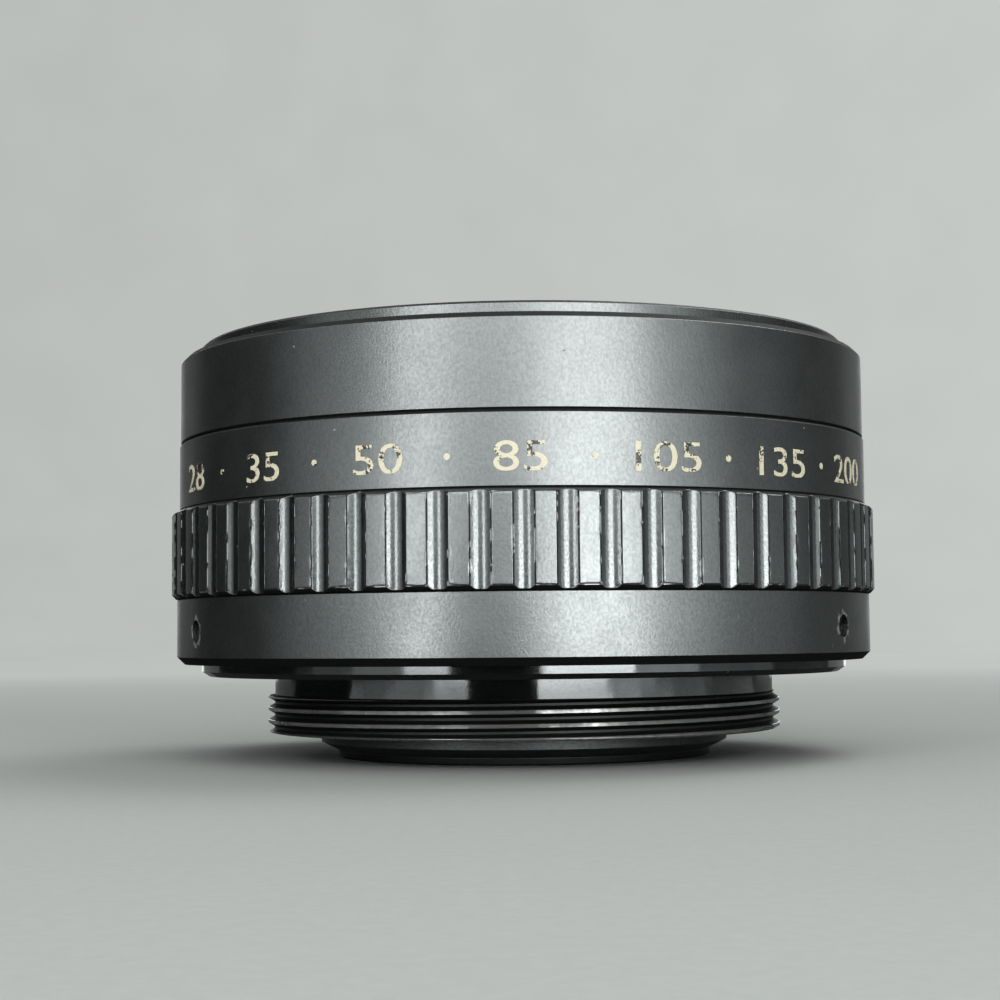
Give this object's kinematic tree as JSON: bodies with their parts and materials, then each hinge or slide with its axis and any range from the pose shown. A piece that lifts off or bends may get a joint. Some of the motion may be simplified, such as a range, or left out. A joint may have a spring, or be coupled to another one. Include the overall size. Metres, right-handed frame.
{
  "type": "tele converter lens",
  "caption": "Short screw-mount tele converter with a fluted grip ring, male rear thread, female front thread, a glass stack and a sprung aperture pin that lifts a pusher plate.",
  "frame": {"origin": "centre of the rear guard's end plane, on the optical axis, where the part stands", "axes": "+Z along the optical axis towards the lens side; -Y is the side that the picture shows"},
  "size_m": [0.0572, 0.0572, 0.0331],
  "materials": {
    "black_satin": "black anodised, satin",
    "grip_black": "black anodised, satin, worn on the edges",
    "mount_gloss": "black anodised, glossy turned surfaces",
    "tube_black": "black anodised",
    "matt_black": "matt black light-trap paint",
    "black_steel": "blackened steel",
    "bright_steel": "plain steel",
    "brass": "turned brass",
    "coated_glass": "coated optical glass"
  },
  "bodies": {
    "converter_body": {"front_mount_ring": "black_satin", "front_mount_screws": "black_steel", "front_barrel": "black_satin", "name_ring": "black_satin", "grip_ring": "grip_black", "rear_barrel": "black_satin", "set_screws": "black_steel", "main_tube": "tube_black", "rear_mount": "mount_gloss", "rear_cover": "matt_black", "rear_cover_screws": "black_steel", "guard_ring": "matt_black", "front_baffle": "matt_black", "baffle_screws": "black_steel", "lens_cell": "tube_black", "cell_lock_ring": "tube_black", "front_retainer": "matt_black", "rear_retainer": "matt_black", "spacer_front": "matt_black", "spacer_rear": "matt_black", "element_1": "coated_glass", "element_2": "coated_glass", "element_3": "coated_glass", "element_4": "coated_glass", "rod_bushes": "brass", "return_springs": "bright_steel"},
    "aperture_pusher": {"push_rod": "bright_steel", "pusher_plate": "bright_steel", "guide_rods": "bright_steel", "rod_clips": "bright_steel"}
  },
  "joints": [
    {"name": "aperture_slide", "type": "slide", "parent": "converter_body", "child": "aperture_pusher", "axis": [0, 0, 1], "range_m": [0, 0.0018], "stiffness_N_per_m": 500, "springref_m": -0.001, "deforming": ["return_springs"]}
  ]
}
